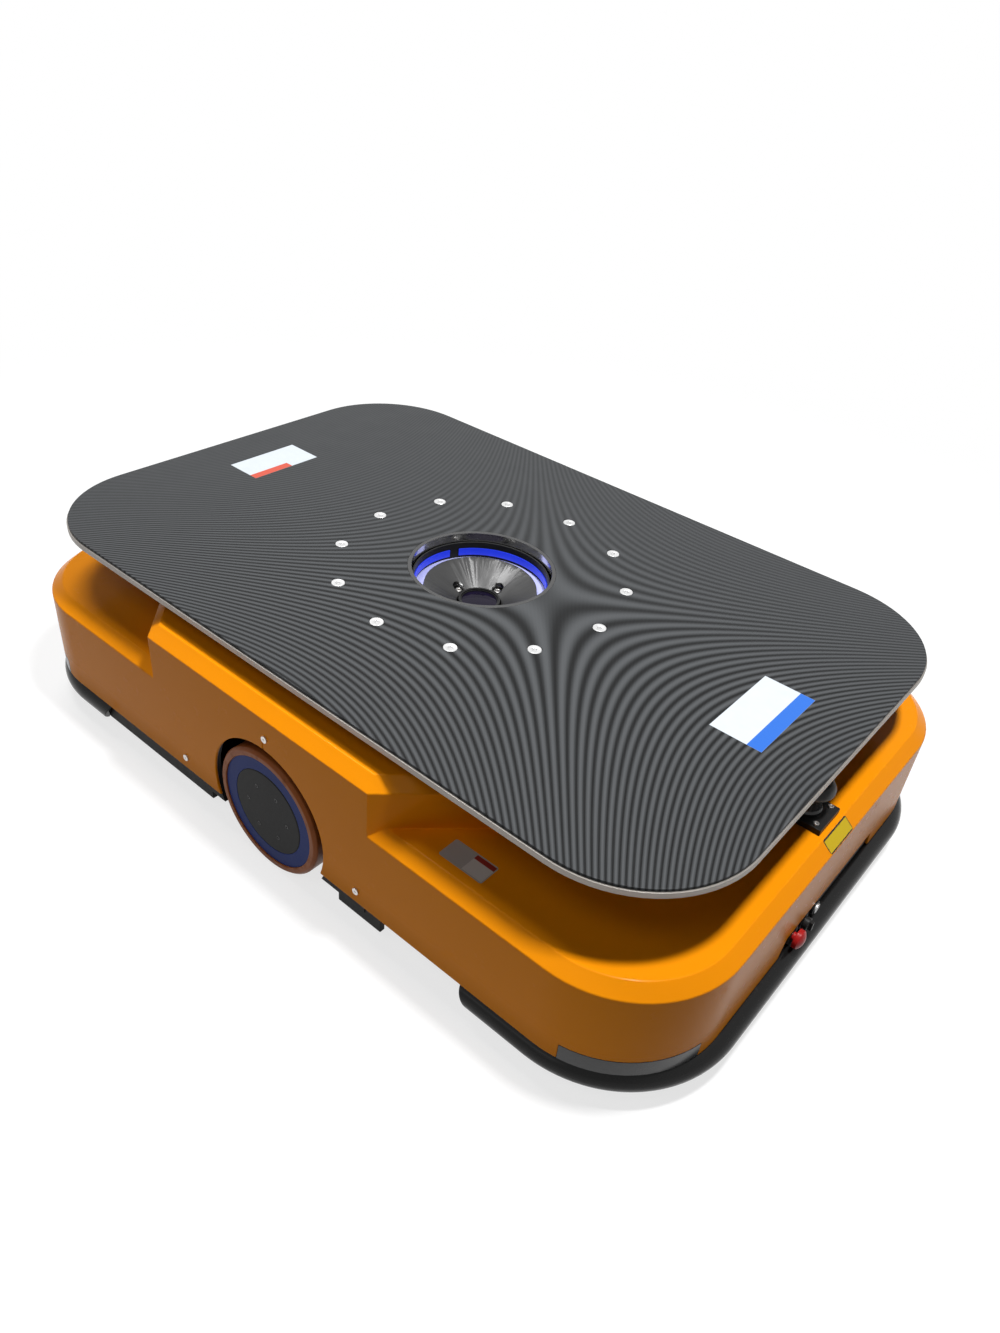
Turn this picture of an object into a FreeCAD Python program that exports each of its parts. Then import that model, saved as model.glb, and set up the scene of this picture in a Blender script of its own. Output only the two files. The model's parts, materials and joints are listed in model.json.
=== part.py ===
import FreeCAD, Part
import math
import os
from FreeCAD import Vector

# Low-built autonomous mobile robot with a lifting and turning load platform.
# Millimetres. Origin on the floor under the drive axle's middle; +X is forward,
# +Y is the robot's left and +Z is up.

# ---- painted body ----
body_length = 1206.0
body_width = 810.0
body_corner = 151.0
skirt_bottom = 58.0
deck_top = 201.0
deck_chamfer_in = 17.0
deck_chamfer_rise = 14.0
block_rear = -235.0
block_front = 187.0
block_to_plate = 27.0
block_chamfer = 16.0
block_end_cut = 108.0
shell_wall = 4.0
seat_gap = 0.3

# ---- load platform ----
platform_length = 1150.0
platform_width = 760.0
platform_corner = 160.0
platform_top = 310.0
mat_thickness = 4.0
plate_thickness = 8.0
platform_bolt_circle = 422.0
platform_bolt_count = 12
bolt_head_radius = 9.8
bolt_shank_radius = 5.0
bolt_clearance = 0.2
eye_radius = 102.0
eye_ring_wall = 6.0
eye_ring_depth = 24.0
hub_radius = 228.0
hub_thickness = 20.0

# ---- turning gear ----
gear_module = 2.5
gear_teeth = 128
pinion_teeth = 20
gear_backlash = 0.35
gear_face = 16.0
gear_bore = 136.0
race_height = 33.0
race_gap = 0.4
race_lip = 4.0

# ---- lift ----
carriage_thickness = 12.0
neck_height = 54.0
carriage_side_margin = 18.0
screw_from_side = 63.0
carriage_drive_gap = 8.0
carriage_rear = -218.0
carriage_front = 176.0
neck_inner = 106.0
neck_outer = 134.0
lift_screw_circle = 183.1
lift_screw_radius = 8.0
guide_post_circle = 177.6
guide_post_radius = 9.0
running_gap = 0.05
top_frame_thickness = 8.0
top_frame_gap = 4.0
belt_pulley_radius = 25.0
belt_width = 11.0
belt_bottom = 63.0
belt_thickness = 2.0
lift_motor_headroom = 24.0

# ---- chassis ----
base_bottom = 35.0
sill_bottom = 27.0
base_thickness = 8.0
tray_wall = 8.0
sill_setback_x = 14.0
sill_setback_y = 6.0
sill_notch_start = 207.0
sill_notch_depth = 63.0
base_rib_x = 222.0
base_rib_height = 40.0
base_rib_end_gap = 17.0
bearing_boss_radius = 20.0
bearing_boss_height = 15.0
arch_plate_end_gap = 7.0
arch_plate_top_gap = 31.0
bridge_half_y = 220.0
side_plate = 8.0
frame_plate = 6.0

# ---- drive wheels ----
wheel_radius = 95.7
wheel_width = 60.0
rim_radius = 84.0
hub_cover_radius = 64.0
hub_screw_circle = 38.8
hub_seat_radius = 3.6
arch_gap = 12.8
arm_pivot_x = -150.0
arm_to_wheel = 46.0
gearmotor_length = 124.0
gearmotor_radius = 48.0
motor_half_width = 40.0
flange_thickness = 14.0
arm_thickness = 12.0
spring_x = 108.0
spring_radius = 14.0
drive_cut_margin = 22.0

# ---- castors ----
castor_end_gap = 173.0
castor_side_gap = 170.0
castor_radius = 50.0
castor_width = 32.0
castor_trail = 36.0
castor_plate_top = 146.0

# ---- bumpers ----
bumper_stand_x = 17.0
bumper_stand_y = 5.0
bumper_corner_more = 24.0
bumper_bottom = 22.0
bumper_top = 57.0
bumper_round = 17.3
front_bumper_wrap = 263.0
rear_bumper_wrap = 233.0
bumper_end_slant = 22.0

# ---- corner lamps ----
lamp_height = 24.0
lamp_from_angle = 13.5
lamp_to_angle = 77.5

# ---- front control bay ----
bay_right = -104.0
bay_left = 170.0
bay_height = 30.0
bay_slope = 10.0
panel_thickness = 6.0
stop_y = -69.0
knob_y = -38.0
button_y = -6.0
socket_y = 144.0

# ---- scanner ----
scanner_setback = 58.0
scanner_cap_radius = 29.0
scanner_height = 54.0

# ---- middle sensor well ----
funnel_top_radius = 83.0
funnel_bottom_radius = 33.0
funnel_below_face = 31.0
funnel_depth = 27.0
lens_barrel_radius = 31.0
well_outer = 100.5
well_wall = 2.5
well_below_face = 14.0
reflector_below_face = 44.0
light_below_face = 24.0
light_height = 11.0
light_gap_degrees = 9.0
light_turn = 36.0

# ---- battery and controller ----
battery_length = 298.0
battery_side_gap = 7.0
battery_height = 118.0
battery_end_gap = 43.0
controller_length = 258.0
controller_height = 88.0
controller_end_gap = 83.0
fin_height = 14.0
fin_pitch = 22.0
fin_thickness = 6.0

# ---- derived places ----
half_length = body_length / 2
half_width = body_width / 2
tray_reach_x = half_length - sill_setback_x
tray_half_y = half_width - sill_setback_y
tray_corner = body_corner - (sill_setback_x + sill_setback_y) / 2
bumper_reach_x = half_length + bumper_stand_x
bumper_half_y = half_width + bumper_stand_y
bumper_corner = body_corner + bumper_corner_more
front_bumper_start = half_length - front_bumper_wrap
rear_bumper_start = half_length - rear_bumper_wrap
castor_x = half_length - castor_end_gap
castor_y = half_width - castor_side_gap
scanner_x = half_length - scanner_setback
mat_bottom = platform_top - mat_thickness
plate_bottom = mat_bottom - plate_thickness
hub_bottom = plate_bottom - hub_thickness
block_top = plate_bottom - block_to_plate
top_frame_top = block_top - shell_wall - top_frame_gap
well_top = platform_top - well_below_face
reflector_z = platform_top - reflector_below_face
light_high = platform_top - light_below_face
light_low = light_high - light_height
funnel_top = platform_top - funnel_below_face
funnel_bottom = funnel_top - funnel_depth
base_top = base_bottom + base_thickness
race_bottom = hub_bottom - race_height - 1
gear_bottom = race_bottom + 5
carriage_top = race_bottom - neck_height
carriage_bottom = carriage_top - carriage_thickness
gear_pitch_radius = gear_module * gear_teeth / 2
pinion_pitch_radius = gear_module * pinion_teeth / 2
pinion_x = -(gear_pitch_radius + pinion_pitch_radius)
arch_radius = wheel_radius + arch_gap
wheel_outer_y = half_width + 1
wheel_inner_y = wheel_outer_y - wheel_width
arm_inner_y = wheel_inner_y - arm_to_wheel
carriage_half_y = arm_inner_y - gearmotor_length - carriage_drive_gap
guide_post_y = carriage_half_y - carriage_side_margin
guide_post_x = math.sqrt(guide_post_circle ** 2 - guide_post_y ** 2)
lift_screw_y = carriage_half_y - screw_from_side
lift_screw_x = math.sqrt(lift_screw_circle ** 2 - lift_screw_y ** 2)
lift_motor_y = lift_screw_y
castor_housing_half = castor_radius + castor_trail + 14
battery_width = 2 * (castor_y - castor_housing_half - battery_side_gap)
controller_width = battery_width - 8
panel_front_x = half_length - shell_wall - seat_gap
panel_back_x = panel_front_x - panel_thickness
bay_middle_z = skirt_bottom + 14
carriage_rest = carriage_bottom - 20
motor_shelf = belt_bottom + 21
well_radius = gear_pitch_radius + gear_module + 3


# ---------------------------------------------------------------- helpers
def write(node, *solids):
    """Write a node, one solid or a group of like solids, to its STEP file."""
    shape = solids[0] if len(solids) == 1 else Part.makeCompound(list(solids))
    shape.exportStep("parts/%s.step" % node)


def box(x0, x1, y0, y1, z0, z1):
    return Part.makeBox(x1 - x0, y1 - y0, z1 - z0, Vector(x0, y0, z0))


def rod(radius, z0, z1, x=0.0, y=0.0):
    return Part.makeCylinder(radius, z1 - z0, Vector(x, y, z0))


def tube(outer, inner, z0, z1, x=0.0, y=0.0):
    return rod(outer, z0, z1, x, y).cut(rod(inner, z0 - 1, z1 + 1, x, y))


def rod_x(radius, x0, x1, y, z):
    return Part.makeCylinder(radius, x1 - x0, Vector(x0, y, z), Vector(1, 0, 0))


def rod_y(radius, y0, y1, x, z):
    return Part.makeCylinder(radius, y1 - y0, Vector(x, y0, z), Vector(0, 1, 0))


def rounded_outline(half_x, half_y, radius, z):
    """A rectangle with four round corners, as one closed wire."""
    straight_x, straight_y = half_x - radius, half_y - radius
    diagonal = radius * math.sqrt(0.5)
    edges = []
    for sx, sy in ((1, 1), (-1, 1), (-1, -1), (1, -1)):
        start = Vector(sx * half_x, sy * straight_y, z)
        middle = Vector(sx * (straight_x + diagonal), sy * (straight_y + diagonal), z)
        end = Vector(sx * straight_x, sy * half_y, z)
        if sx * sy < 0:
            start, end = end, start
        edges.append(Part.Arc(start, middle, end).toShape())
    lines = []
    for here, after in zip(edges, edges[1:] + edges[:1]):
        lines += [here, Part.makeLine(here.Vertexes[-1].Point, after.Vertexes[0].Point)]
    return Part.Wire(Part.__sortEdges__(lines))


def rounded_slab(half_x, half_y, radius, z0, z1):
    face = Part.Face(rounded_outline(half_x, half_y, radius, z0))
    return face.extrude(Vector(0, 0, z1 - z0))


def revolved(profile, x=0.0, y=0.0):
    """Turn a closed (radius, height) outline about the upright axis through x, y."""
    points = [Vector(x + r, y, z) for r, z in profile]
    face = Part.Face(Part.makePolygon(points + points[:1]))
    return face.revolve(Vector(x, y, 0), Vector(0, 0, 1), 360)


def revolved_y(profile, x, z):
    """Turn a closed (radius, y) outline about the crosswise axis through x, z."""
    points = [Vector(x + r, y, z) for r, y in profile]
    face = Part.Face(Part.makePolygon(points + points[:1]))
    return face.revolve(Vector(x, 0, z), Vector(0, 1, 0), 360)


def mirrored_y(shape):
    return shape.mirror(Vector(0, 0, 0), Vector(0, 1, 0))


def fused(first, *rest):
    return first.multiFuse(list(rest)).removeSplitter() if rest else first


def sector(outer, inner, z0, z1, from_angle, to_angle, x=0.0, y=0.0):
    """Part of an upright ring between two angles."""
    sweep = to_angle - from_angle
    at = Vector(x, y, z0)
    body = Part.makeCylinder(outer, z1 - z0, at, Vector(0, 0, 1), sweep)
    body = body.cut(Part.makeCylinder(inner, z1 - z0, at, Vector(0, 0, 1), 360))
    body.rotate(at, Vector(0, 0, 1), from_angle)
    return body


def only_solid(shape):
    return shape.Solids[0] if len(shape.Solids) == 1 else shape


# ---------------------------------------------------------------- painted body
def block_outline(inset, z):
    """The raised block in plan, its four corners cut off at 45 degrees, moved inwards."""
    side = half_width - inset
    cut = inset * math.sqrt(2)
    quarters = []
    for corner_x, turn in ((block_front, 1), (block_rear, -1)):
        reach = half_width + abs(corner_x) - cut
        end = abs(corner_x) + block_end_cut - inset
        quarters.append([(turn * (reach - side), side), (turn * end, reach - end)])
    front, rear = quarters
    ring = front + [(x, -y) for x, y in front[::-1]]
    ring += [(x, -y) for x, y in rear] + rear[::-1]
    points = [Vector(x, y, z) for x, y in ring]
    return Part.makePolygon(points + points[:1])


def body_form(inset, bottom):
    """The body's outer form moved inwards by inset, closed at the bottom."""
    slant = math.hypot(deck_chamfer_in, deck_chamfer_rise)
    low_z = deck_top - deck_chamfer_rise - inset * (slant - deck_chamfer_rise) / deck_chamfer_in
    top_in = deck_chamfer_in + inset * (slant - deck_chamfer_in) / deck_chamfer_rise
    hx, hy, corner = half_length - inset, half_width - inset, body_corner - inset
    skirt = rounded_slab(hx, hy, corner, bottom, low_z)
    low = rounded_outline(hx, hy, corner, low_z)
    top = rounded_outline(half_length - top_in, half_width - top_in,
                          body_corner - top_in, deck_top - inset)
    deck = Part.makeLoft([low, top], True, True)
    extra = inset * (math.sqrt(2) - 1)
    block_low = block_top - block_chamfer - extra
    walls = Part.Face(block_outline(inset, low_z - 20))
    walls = walls.extrude(Vector(0, 0, block_low - low_z + 20))
    cap = Part.makeLoft([block_outline(inset, block_low),
                         block_outline(block_chamfer + extra, block_top - inset)], True, True)
    return fused(skirt, deck, walls, cap)


def corner_places():
    """Middle of each corner arc and the quarter that it covers."""
    cx, cy = half_length - body_corner, half_width - body_corner
    return ((cx, cy, 0), (-cx, cy, 90), (-cx, -cy, 180), (cx, -cy, 270))


def lamp_sector(clearance, inner_cut):
    """The four corner lamp places, made wider by clearance."""
    places = []
    for cx, cy, quarter in corner_places():
        first, last = lamp_from_angle, lamp_to_angle
        if quarter in (90, 270):
            first, last = 90 - lamp_to_angle, 90 - lamp_from_angle
        turn = math.degrees(clearance / body_corner)
        places.append(sector(body_corner + inner_cut, body_corner - shell_wall - inner_cut,
                             skirt_bottom - inner_cut, skirt_bottom + lamp_height + clearance,
                             quarter + first - turn, quarter + last + turn, cx, cy))
    return places


side_screws = ((-176.0, 80.0), (6.0, 225.0), (170.0, 80.0))
side_screw_radius = 3.0


def bay_prism(x0, x1, grow=0.0):
    """The control bay's outline, wide at the bottom and narrower at the top."""
    z0, z1 = skirt_bottom - 1, skirt_bottom + bay_height + grow
    points = [Vector(x0, bay_right - grow, z0), Vector(x0, bay_left + grow, z0),
              Vector(x0, bay_left + grow - bay_slope, z1),
              Vector(x0, bay_right - grow + bay_slope, z1)]
    return Part.Face(Part.makePolygon(points + points[:1])).extrude(Vector(x1 - x0, 0, 0))


def platform_well(clearance, z0, z1):
    """Keyhole through which the turning gear and its pinion rise."""
    around_pinion = pinion_pitch_radius + gear_module + 2
    return fused(rod(well_radius + clearance, z0, z1),
                 rod(around_pinion + clearance, z0, z1, pinion_x))


def body_shell():
    shell = body_form(0, skirt_bottom).cut(body_form(shell_wall, skirt_bottom - 1))
    cuts = [rod_y(arch_radius, -half_width - 1, half_width + 1, 0, wheel_radius),
            bay_prism(half_length - shell_wall - 6, half_length + 1),
            platform_well(0, block_top - shell_wall - 1, block_top + 1)]
    cuts += lamp_sector(seat_gap / 2, 1)
    slit_top = arch_radius + wheel_radius + 16
    cuts.append(box(-0.6, 0.6, -half_width - 1, half_width + 1,
                    wheel_radius + arch_radius - 2, slit_top))
    for x, z in side_screws:
        cuts.append(rod_y(side_screw_radius + bolt_clearance, -half_width - 1, half_width + 1, x, z))
    for x, y in scanner_screw_places():
        cuts.append(rod(2.2, deck_top - shell_wall - 1, deck_top + 1, x, y))
    return only_solid(shell.cut(cuts))


def scanner_screw_places():
    reach = 21.0
    return [(scanner_x + sx * reach + 4, sy * reach) for sx in (-1, 1) for sy in (-1, 1)]


def body_screws():
    """Button-head screws through the side walls and the scanner's foot."""
    screws = []
    for x, z in side_screws:
        head = rod_y(5.0, half_width, half_width + 2.6, x, z)
        shank = rod_y(side_screw_radius, half_width - 11, half_width, x, z)
        socket = rod_y(1.7, half_width + 1, half_width + 3, x, z)
        screw = head.fuse(shank).cut(socket)
        screws += [screw, mirrored_y(screw)]
    foot_top = deck_top + 9
    for x, y in scanner_screw_places():
        screw = rod(3.6, foot_top, foot_top + 2.5, x, y).fuse(rod(2.0, deck_top - 8, foot_top, x, y))
        screws.append(screw.cut(rod(1.5, foot_top + 1, foot_top + 3, x, y)))
    return [only_solid(s) for s in screws]


# ---------------------------------------------------------------- chassis
def drive_cut(z0, z1):
    """Clear space round each drive wheel, its gearmotor and its swing arm."""
    inner = carriage_half_y + 3
    reach = arch_radius + drive_cut_margin
    return [box(-reach, reach, s * inner if s > 0 else -half_width,
                half_width if s > 0 else -inner, z0, z1) for s in (1, -1)]


def castor_places():
    return [(sx * castor_x, sy * castor_y) for sx in (1, -1) for sy in (1, -1)]


def castor_housing(x, y):
    """Inverted square box that carries a castor's plate above the base."""
    outer, inner = castor_housing_half, castor_housing_half - 4
    top = castor_plate_top + frame_plate
    cover = box(x - outer, x + outer, y - outer, y + outer, base_top - 1, top)
    return cover.cut(box(x - inner, x + inner, y - inner, y + inner, base_top - 2, castor_plate_top))


def arm_lugs():
    """Pair of upright ears for the pin of the left swing arm."""
    ears = []
    for y0 in (arm_inner_y - 10 - seat_gap, arm_inner_y + arm_thickness + seat_gap):
        ear = box(arm_pivot_x - 17, arm_pivot_x + 17, y0, y0 + 10, base_top - 1, wheel_radius)
        ears.append(ear.fuse(rod_y(17, y0, y0 + 10, arm_pivot_x, wheel_radius)))
    pin = rod_y(8, arm_inner_y - 10, arm_inner_y + arm_thickness + 10, arm_pivot_x, wheel_radius)
    return ears + [pin]


def spring_tower():
    """Bracket above the free end of the left swing arm."""
    y0, y1 = arm_inner_y - 14, arm_inner_y + arm_thickness + 14
    wall_x = arch_radius + drive_cut_margin + 1
    wall = box(wall_x, wall_x + frame_plate, y0, y1, base_top - 1, 176)
    return wall.fuse(box(spring_x - 18, wall_x + 1, y0, y1, 170, 176))


def side_arch_plate():
    """Left upright plate that carries the body's side wall round the wheel."""
    y1 = half_width - shell_wall - seat_gap
    plate = box(block_rear + 5 * arch_plate_end_gap, block_front - arch_plate_end_gap,
                y1 - side_plate, y1, base_top, block_top - arch_plate_top_gap)
    return plate.cut(rod_y(arch_radius + 4, 0, half_width, 0, wheel_radius))


def chassis_frame():
    tray = rounded_slab(tray_reach_x, tray_half_y, tray_corner, base_bottom, skirt_bottom)
    hollow = rounded_slab(tray_reach_x - tray_wall, tray_half_y - tray_wall,
                          tray_corner - tray_wall, base_top, skirt_bottom + 1)
    lip = rounded_slab(tray_reach_x, tray_half_y, tray_corner, sill_bottom, base_bottom + 1)
    lip = lip.cut(rounded_slab(tray_reach_x - tray_wall, tray_half_y - tray_wall,
                               tray_corner - tray_wall, sill_bottom - 1, base_bottom + 2))
    tray = tray.cut(hollow).fuse(lip)
    notch_y = tray_half_y - sill_notch_depth
    notch = [box(sill_notch_start, front_bumper_start + 8, notch_y if s > 0 else -half_width,
                 half_width if s > 0 else -notch_y, sill_bottom - 1, skirt_bottom + 1)
             for s in (1, -1)]
    openings = drive_cut(sill_bottom - 1, skirt_bottom + 1) + notch
    castor_swing = castor_radius + castor_trail + 7
    openings += [rod(castor_swing, base_bottom - 1, base_top + 1, x, y) for x, y in castor_places()]
    tray = tray.cut(openings)
    parts = [castor_housing(x, y) for x, y in castor_places()]
    for shape in arm_lugs() + [spring_tower(), side_arch_plate()]:
        parts += [shape, mirrored_y(shape)]
    for sx, sy in ((1, 1), (-1, -1)):
        parts.append(rod(bearing_boss_radius, base_top - 1, base_top + bearing_boss_height,
                         sx * lift_screw_x, sy * lift_screw_y))
    parts += lift_motor_bracket()
    for sx in (1, -1):
        rib_half = tray_half_y - base_rib_end_gap
        parts.append(box(sx * base_rib_x - 4, sx * base_rib_x + 4, -rib_half, rib_half,
                         base_top - 1, base_top + base_rib_height))
    frame = fused(tray, *parts)
    holes = [rod(lift_screw_radius + running_gap, base_top, base_top + 20,
                 s * lift_screw_x, s * lift_screw_y) for s in (1, -1)]
    for x, z in side_screws:
        hole = rod_y(side_screw_radius + bolt_clearance, half_width - 35, half_width, x, z)
        holes += [hole, mirrored_y(hole)]
    return only_solid(frame.cut(holes))


def bumper(start_x):
    """Rubber edge along one end, drawn for the front; the side ends are slanted."""
    outer = rounded_slab(bumper_reach_x, bumper_half_y, bumper_corner, bumper_bottom, bumper_top)
    rims = [e for e in outer.Edges
            if abs(e.BoundBox.ZLength) < 1e-6 and e.Length > 1]
    outer = outer.makeFillet(bumper_round, rims)
    inner = rounded_slab(tray_reach_x, tray_half_y, tray_corner, bumper_bottom - 1, bumper_top + 1)
    ring = outer.cut(inner)
    keep = Part.makePolygon([Vector(start_x + bumper_end_slant, 0, bumper_bottom - 1),
                             Vector(start_x, 0, bumper_top + 1),
                             Vector(bumper_reach_x + 1, 0, bumper_top + 1),
                             Vector(bumper_reach_x + 1, 0, bumper_bottom - 1),
                             Vector(start_x + bumper_end_slant, 0, bumper_bottom - 1)])
    block = Part.Face(keep).extrude(Vector(0, 2 * half_width + 40, 0))
    block.translate(Vector(0, -half_width - 20, 0))
    return only_solid(ring.common(block))


def corner_lamps():
    lamps = []
    for cx, cy, quarter in corner_places():
        first, last = lamp_from_angle, lamp_to_angle
        if quarter in (90, 270):
            first, last = 90 - lamp_to_angle, 90 - lamp_from_angle
        lamps.append(sector(body_corner, body_corner - shell_wall, skirt_bottom,
                            skirt_bottom + lamp_height, quarter + first, quarter + last, cx, cy))
    return lamps


# ---------------------------------------------------------------- control bay
def control_panel():
    plate = box(panel_back_x, panel_front_x, bay_right - 14, bay_left + 14,
                bumper_top + seat_gap, skirt_bottom + bay_height + 12)
    pocket = box(panel_back_x - 22, panel_back_x, socket_y - 22, socket_y + 22,
                 skirt_bottom + 2, skirt_bottom + bay_height - 2)
    plate = plate.fuse(pocket).removeSplitter()
    cuts = [box(panel_back_x - 18, panel_front_x + 1, socket_y - 18, socket_y + 18,
                skirt_bottom + 6, skirt_bottom + bay_height - 6)]
    for y, radius in ((stop_y, 6.0), (knob_y, 4.0), (button_y, 4.0)):
        cuts.append(rod_x(radius + 0.1, panel_back_x - 1, panel_front_x + 1, y, bay_middle_z))
    return only_solid(plate.cut(cuts))


def panel_collars():
    """Round collars on the panel under the stop, the selector and the button."""
    collars = []
    for y, outer, bore, depth in ((stop_y, 13.0, 6.0, 4.0), (knob_y, 11.0, 4.0, 4.0),
                                  (button_y, 10.0, 7.3, 5.5)):
        body = rod_x(outer, panel_front_x, panel_front_x + depth, y, bay_middle_z)
        collars.append(body.cut(rod_x(bore + 0.1, panel_front_x - 1, panel_front_x + depth + 1,
                                      y, bay_middle_z)))
    return collars


def stop_button():
    """Mushroom head with its stem; it travels inwards when it is struck."""
    head = Part.makeSphere(19.0, Vector(0, 0, 0), Vector(0, 0, 1), 0, 90, 360)
    head = head.common(Part.makeCylinder(13.2, 30, Vector(0, 0, 11.5)))
    head.translate(Vector(0, 0, -11.5))
    head = head.fuse(Part.makeCylinder(13.2, 4, Vector(0, 0, -4)))
    head = head.fuse(Part.makeCylinder(6.0, 28, Vector(0, 0, -31)))
    head.rotate(Vector(0, 0, 0), Vector(0, 1, 0), 90)
    head.translate(Vector(panel_front_x + 12.3, stop_y, bay_middle_z))
    return only_solid(head.removeSplitter())


def selector_knob():
    x = panel_front_x + 4 + seat_gap
    knob = rod_x(8.5, x, x + 7, knob_y, bay_middle_z)
    grip = box(x + 6, x + 12, knob_y - 2.5, knob_y + 2.5, bay_middle_z - 7, bay_middle_z + 7)
    stem = rod_x(4.0, panel_back_x - 6, x + 1, knob_y, bay_middle_z)
    return only_solid(knob.fuse([grip, stem]).removeSplitter())


def push_button():
    cap = rod_x(7.2, panel_front_x + 2.5, panel_front_x + 7.5, button_y, bay_middle_z)
    stem = rod_x(4.0, panel_back_x - 6, panel_front_x + 3, button_y, bay_middle_z)
    return only_solid(cap.fuse(stem).removeSplitter())


# ---------------------------------------------------------------- scanner
def scanner_foot():
    foot = box(scanner_x - 24, scanner_x + 35, -28, 28, deck_top, deck_top + 9)
    holes = [rod(2.2, deck_top - 1, deck_top + 10, x, y) for x, y in scanner_screw_places()]
    return only_solid(foot.cut(holes))


def scanner_body():
    z = deck_top + 9
    top = deck_top + scanner_height - 16
    return revolved([(0, z), (21, z), (21, z + 4), (18.5, z + 7), (18.5, top - 9),
                     (24, top), (0, top)], scanner_x)


def scanner_cap():
    z0, z1 = deck_top + scanner_height - 16, deck_top + scanner_height
    r = scanner_cap_radius
    return revolved([(0, z0), (24.5, z0), (r, z0 + 4), (r, z0 + 8), (r - 3, z1 - 3),
                     (r - 9, z1), (0, z1)], scanner_x)


# ---------------------------------------------------------------- drive units
def swing_arm():
    """Left arm: gearmotor seat in the middle, pin at one end, spring seat at the other."""
    y0, y1 = arm_inner_y, arm_inner_y + arm_thickness
    z = wheel_radius
    ends = [(arm_pivot_x, z, 17.0), (0.0, z, 58.0), (spring_x, z, 17.0)]
    arm = fused(*[rod_y(r, y0, y1, x, zz) for x, zz, r in ends])
    bars = []
    for (xa, za, ra), (xb, zb, rb) in zip(ends, ends[1:]):
        small = min(ra, rb)
        bars.append(box(xa, xb, y0, y1, za - small, za + small))
    arm = fused(arm, *bars)
    seat = box(spring_x - 16, spring_x + 16, y0 - 8, y1 + 8, z + 14, z + 22)
    arm = fused(arm, seat)
    return only_solid(arm.cut([rod_y(8 + running_gap, y0 - 1, y1 + 1, arm_pivot_x, z),
                               rod_y(41.0, y0 - 1, y1 + 1, 0, z)]))


def spring():
    """Spring round its guide between the arm's seat and the tower, left side."""
    z0, z1 = wheel_radius + 22 + seat_gap, 170 - seat_gap
    turns = 6
    pitch = (z1 - z0) / turns
    profile = [(5, z0)]
    for i in range(turns):
        z = z0 + i * pitch
        profile += [(spring_radius, z), (spring_radius, z + pitch * 0.6),
                    (spring_radius - 4, z + pitch * 0.6), (spring_radius - 4, z + pitch)]
    profile += [(5, z1)]
    return revolved(profile, spring_x, arm_inner_y + arm_thickness / 2)


def gearmotor():
    """Motor and planetary gearbox in line, flanged to the left swing arm."""
    z = wheel_radius
    y0 = arm_inner_y
    y1 = y0 - flange_thickness
    y2 = y0 - gearmotor_length * 0.45
    y3 = y0 - gearmotor_length
    flange = rod_y(gearmotor_radius + 6, y1, y0, 0, z)
    gearbox = rod_y(gearmotor_radius, y2, y1, 0, z)
    half = motor_half_width
    motor = box(-half, half, y3, y2, z - half, z + half)
    motor = motor.makeChamfer(8, [e for e in motor.Edges if abs(e.BoundBox.YLength - y2 + y3) < 1e-6])
    nose = rod_y(40.5, y0, wheel_outer_y - 16 - seat_gap, 0, z)
    bore = rod_y(15 + running_gap, wheel_outer_y - 60, wheel_outer_y - 15, 0, z)
    return only_solid(fused(flange, gearbox, motor, nose).cut(bore))


def wheel_tyre():
    y0, y1 = wheel_inner_y, wheel_outer_y
    profile = [(rim_radius, y0), (wheel_radius - 4, y0), (wheel_radius, y0 + 4),
               (wheel_radius, y1 - 4), (wheel_radius - 4, y1), (rim_radius, y1)]
    return revolved_y(profile, 0, wheel_radius)


def wheel_rim():
    """Machined rim with its web and shaft, left side."""
    y0, y1 = wheel_inner_y, wheel_outer_y
    web = y1 - 16
    profile = [(0, y1 - 56), (15, y1 - 56), (15, web), (62, web), (70, y0), (rim_radius, y0),
               (rim_radius, y1 - 2), (hub_cover_radius, y1 - 2), (hub_cover_radius, y1 - 7),
               (0, y1 - 7)]
    return revolved_y(profile, 0, wheel_radius)


def hub_cover():
    """Round cover in the wheel's face, held by six screws with dimpled heads."""
    y1 = wheel_outer_y
    profile = [(0, y1 - 7), (hub_cover_radius - 0.2, y1 - 7), (hub_cover_radius - 0.2, y1 - 2.5),
               (hub_cover_radius - 2, y1 - 1.5), (0, y1 - 1.5)]
    cover = revolved_y(profile, 0, wheel_radius)
    seats = []
    for i in range(6):
        angle = math.radians(60 * i)
        seats.append(rod_y(hub_seat_radius, y1 - 2.5, y1, hub_screw_circle * math.cos(angle),
                           wheel_radius + hub_screw_circle * math.sin(angle)))
    return only_solid(cover.cut(seats))


# ---------------------------------------------------------------- castors
def castor_mount(x, y):
    z1 = castor_plate_top
    plate = box(x - 45, x + 45, y - 38, y + 38, z1 - 6, z1)
    pin = rod(8, 104, z1 - 5, x, y).fuse(rod(13, 103.5, 107.7, x, y))
    return only_solid(plate.fuse(pin).removeSplitter())


def castor_fork(x, y):
    """Swivel crown and two legs; the wheel trails behind the king pin."""
    axle_x = x - castor_trail
    z_axle = castor_radius
    crown = rod(30, 110, castor_plate_top - 6 - seat_gap, x, y)
    top = fused(box(x - 44, x + 14, y - 23, y + 23, 108, 118), crown)
    legs = []
    for y0 in (y - 23, y + 18):
        leg = Part.makePolygon([Vector(x + 12, y0, 112), Vector(axle_x - 26, y0, 112),
                                Vector(axle_x - 12, y0, z_axle), Vector(axle_x + 12, y0, z_axle),
                                Vector(x + 12, y0, 112)])
        leg = Part.Face(leg).extrude(Vector(0, 5, 0))
        legs.append(leg.fuse(rod_y(12, y0, y0 + 5, axle_x, z_axle)))
    axle = rod_y(6, y - 26, y + 26, axle_x, z_axle)
    fork = fused(top, axle, *legs)
    return only_solid(fork.cut(rod(8 + running_gap, 100, castor_plate_top, x, y)))


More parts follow.
